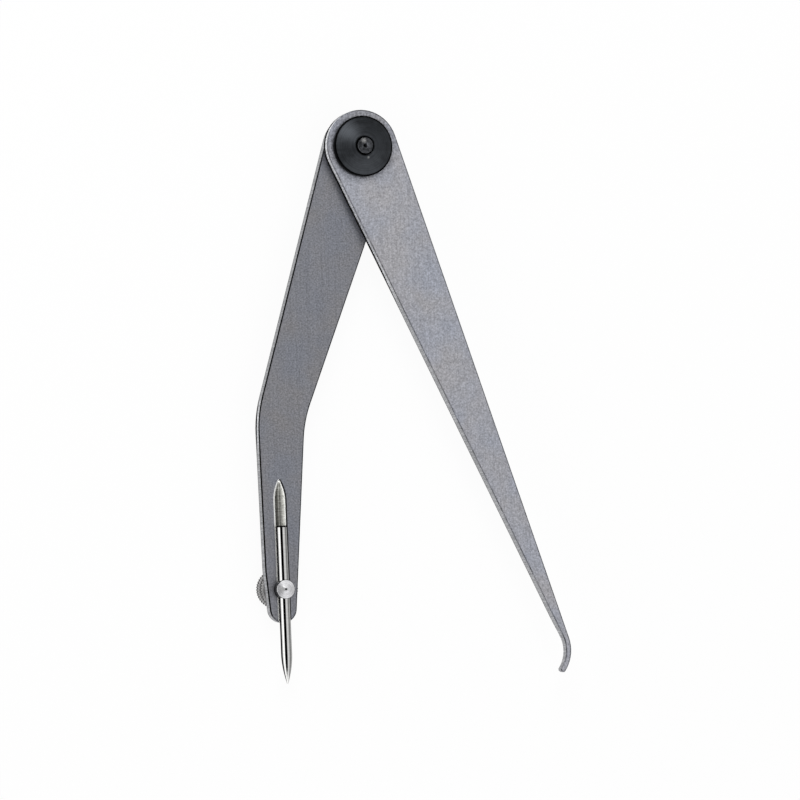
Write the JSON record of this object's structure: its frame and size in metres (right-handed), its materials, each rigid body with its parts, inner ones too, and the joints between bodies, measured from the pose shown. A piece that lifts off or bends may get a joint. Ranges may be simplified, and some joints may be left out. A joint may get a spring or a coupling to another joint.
{
  "type": "odd leg caliper",
  "caption": "Firm-joint odd leg caliper: one leg ends in a small inward hook, the other clamps a sliding scriber in a vee groove.",
  "frame": {"origin": "on the pivot axis, at the flat back of the pivot bolt's head", "axes": "+Z along the pivot axis, towards the domed nut on the front; +Y along the scriber, from its point towards the joint; +X towards the hook leg"},
  "size_m": [0.0841, 0.152, 0.015],
  "materials": {
    "ground_steel": "satin ground",
    "ground_steel_leg": "satin ground",
    "black_steel": "turned and blackened",
    "washer_steel": "plain sheet",
    "bright_steel": "polished",
    "turned_steel": "bright turned"
  },
  "bodies": {
    "frame": {"scriber_leg": "ground_steel_leg", "pivot_bolt": "black_steel", "pivot_nut": "black_steel", "joint_washer": "washer_steel"},
    "hook": {"hook_leg": "ground_steel"},
    "thumb_nut": {"clamp_nut": "turned_steel"},
    "stud": {"clamp_stud": "turned_steel"},
    "scriber": {"scriber": "bright_steel"}
  },
  "joints": [
    {"name": "leg_pivot", "type": "hinge", "parent": "frame", "child": "hook", "pos_m": [0, 0, 0.0077], "axis": [0, 0, 1], "range_deg": [-28, 150]},
    {"name": "clamp_stud_lift", "type": "slide", "parent": "frame", "child": "stud", "axis": [0, 0, 1], "range_m": [0, 0.0009]},
    {"name": "clamp_nut_turn", "type": "hinge", "parent": "frame", "child": "thumb_nut", "pos_m": [-0.0257, -0.1166, 0], "axis": [0, 0, -1], "range_deg": [0, 545]},
    {"name": "scriber_slide", "type": "slide", "parent": "stud", "child": "scriber", "axis": [0, -1, 0], "range_m": [-0.0065, 0.012]}
  ],
  "couplings": [
    {"joint": "clamp_nut_turn", "follows": "clamp_stud_lift", "rad_per_m": 10472}
  ]
}
